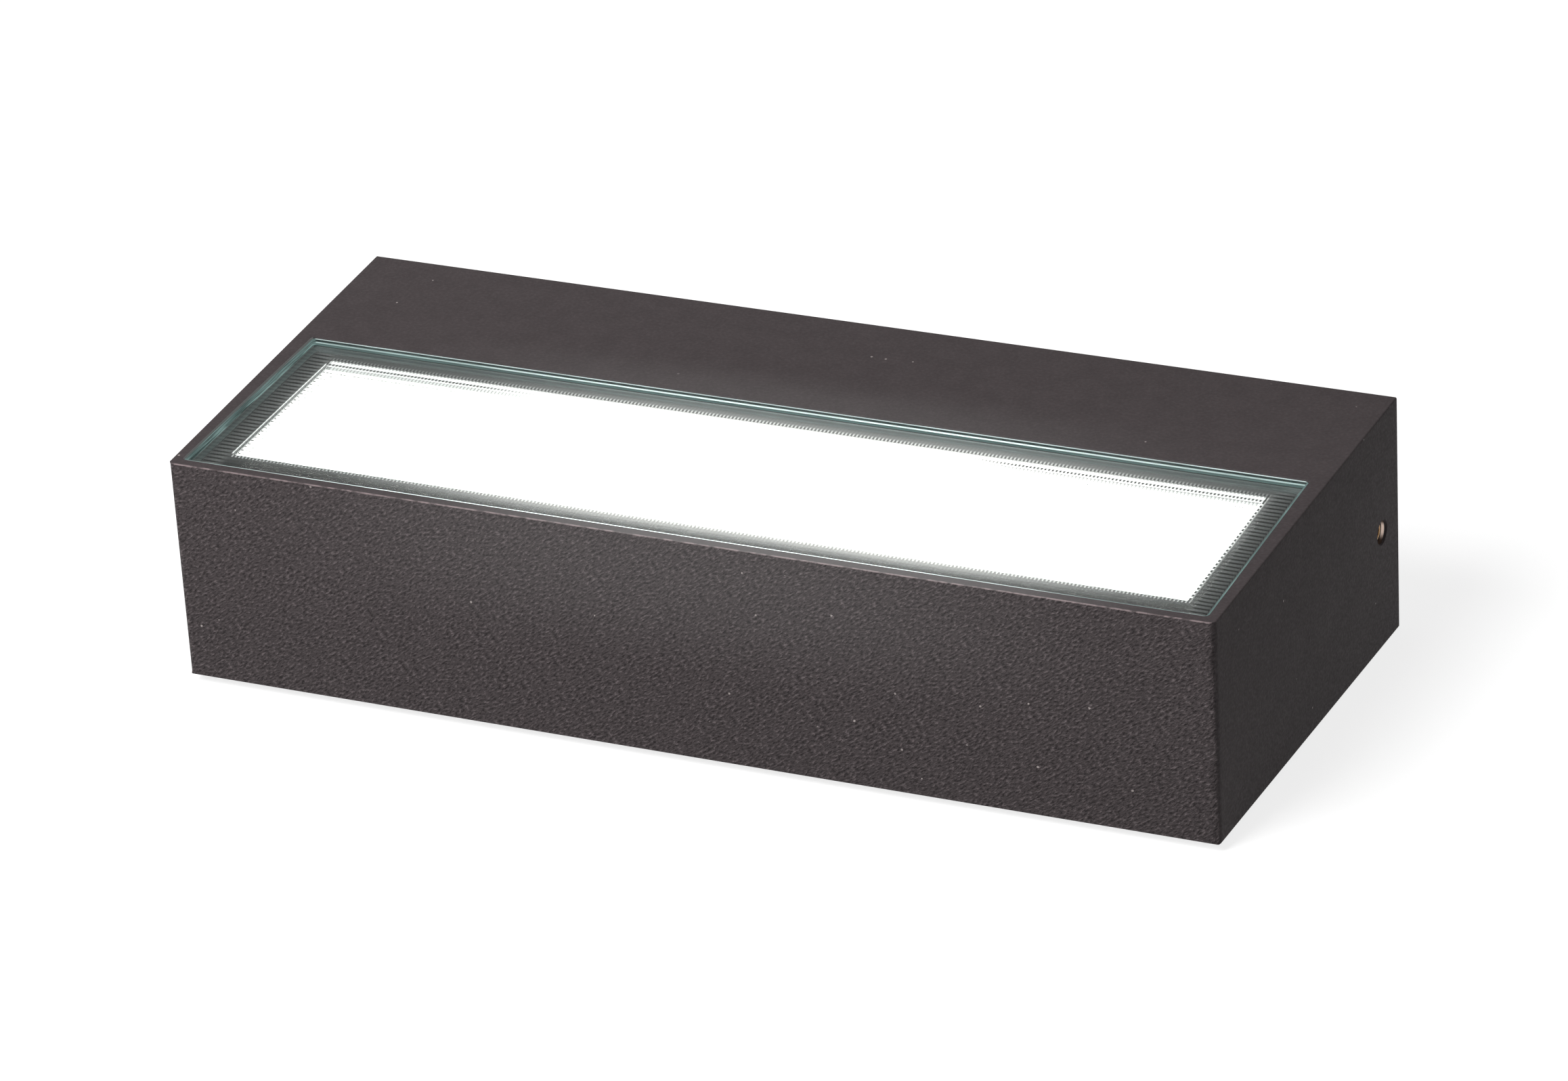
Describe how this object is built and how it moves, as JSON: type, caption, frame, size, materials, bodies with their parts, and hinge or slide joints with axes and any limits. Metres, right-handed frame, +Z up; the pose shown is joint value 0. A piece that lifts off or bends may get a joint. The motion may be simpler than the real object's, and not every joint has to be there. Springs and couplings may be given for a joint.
{
  "type": "LED wall light",
  "caption": "Box-shaped cast wall light with a flush glass over a ribbed diffuser and a lit panel, hung on a notched wall bracket and held by side screws.",
  "frame": {"origin": "centre of the wall bracket's flat back face, which lies on the wall", "axes": "+X along the light's length to the right of someone facing it, +Y into the wall, +Z up; the light stands out along -Y"},
  "size_m": [0.26, 0.1125, 0.059],
  "materials": {
    "powder_coat": "anthracite fine-textured powder coat",
    "zinc_steel": "zinc plated",
    "zinc_screw": "zinc plated",
    "nickel_screw": "nickel plated",
    "tempered_glass": "clear, polished edges",
    "prismatic_sheet": "ribbed, clear",
    "lit_opal": "opal, lit",
    "white_plastic": "satin",
    "board_aluminium": "white solder mask",
    "green_board": "solder mask",
    "nylon": "natural nylon",
    "coil_tape": "taped winding",
    "clamp_brass": "plain",
    "black_rubber": "matte",
    "black_foam": "cellular",
    "red_sleeve": "extruded",
    "black_sleeve": "extruded",
    "brown_sleeve": "extruded",
    "blue_sleeve": "extruded",
    "green_sleeve": "extruded"
  },
  "bodies": {
    "wall_bracket": {"wall_bracket": "zinc_steel", "bracket_grommet": "black_rubber"},
    "lamp_body": {"housing": "powder_coat", "wall_seal": "black_foam", "glass_pane": "tempered_glass", "glass_seal": "black_rubber", "prismatic_cover": "prismatic_sheet", "opal_panel": "lit_opal", "reflector_frame": "white_plastic", "led_board": "board_aluminium", "led_board_screw_1": "zinc_screw", "led_board_screw_2": "zinc_screw", "led_board_screw_3": "zinc_screw", "led_board_screw_4": "zinc_screw", "led_connector": "nylon", "led_grommet": "black_rubber", "led_lead_red": "red_sleeve", "led_lead_black": "black_sleeve", "gear_tray": "zinc_steel", "tray_screw_1": "zinc_screw", "tray_screw_2": "zinc_screw", "tray_screw_3": "zinc_screw", "tray_screw_4": "zinc_screw", "tray_screw_5": "zinc_screw", "tray_screw_6": "zinc_screw", "tray_grommet": "black_rubber", "driver_case": "white_plastic", "driver_lid": "white_plastic", "driver_board": "green_board", "driver_transformer": "coil_tape", "driver_capacitor_1": "black_sleeve", "driver_capacitor_2": "black_sleeve", "driver_capacitor_3": "black_sleeve", "driver_screw_1": "zinc_screw", "driver_screw_2": "zinc_screw", "terminal_block": "nylon", "terminal_clamp_1": "clamp_brass", "terminal_clamp_2": "clamp_brass", "terminal_clamp_3": "clamp_brass", "terminal_screw_1_lower": "zinc_screw", "terminal_screw_1_upper": "zinc_screw", "terminal_screw_2_lower": "zinc_screw", "terminal_screw_2_upper": "zinc_screw", "terminal_screw_3_lower": "zinc_screw", "terminal_screw_3_upper": "zinc_screw", "terminal_fixing_screw_1": "zinc_screw", "terminal_fixing_screw_2": "zinc_screw", "live_lead": "brown_sleeve", "neutral_lead": "blue_sleeve", "earth_lead": "green_sleeve", "earth_tag": "clamp_brass", "earth_washer": "zinc_screw", "earth_screw": "zinc_screw"},
    "side_screw_left": {"side_screw_left": "nickel_screw"},
    "side_screw_right": {"side_screw_right": "nickel_screw"}
  },
  "joints": [
    {"name": "lamp_slide", "type": "slide", "parent": "wall_bracket", "child": "lamp_body", "axis": [0, -1, 0], "range_m": [0, 0.04]},
    {"name": "side_screw_left_travel", "type": "slide", "parent": "lamp_body", "child": "side_screw_left", "axis": [-1, 0, 0], "range_m": [0, 0.004]},
    {"name": "side_screw_right_travel", "type": "slide", "parent": "lamp_body", "child": "side_screw_right", "axis": [1, 0, 0], "range_m": [0, 0.004]}
  ]
}
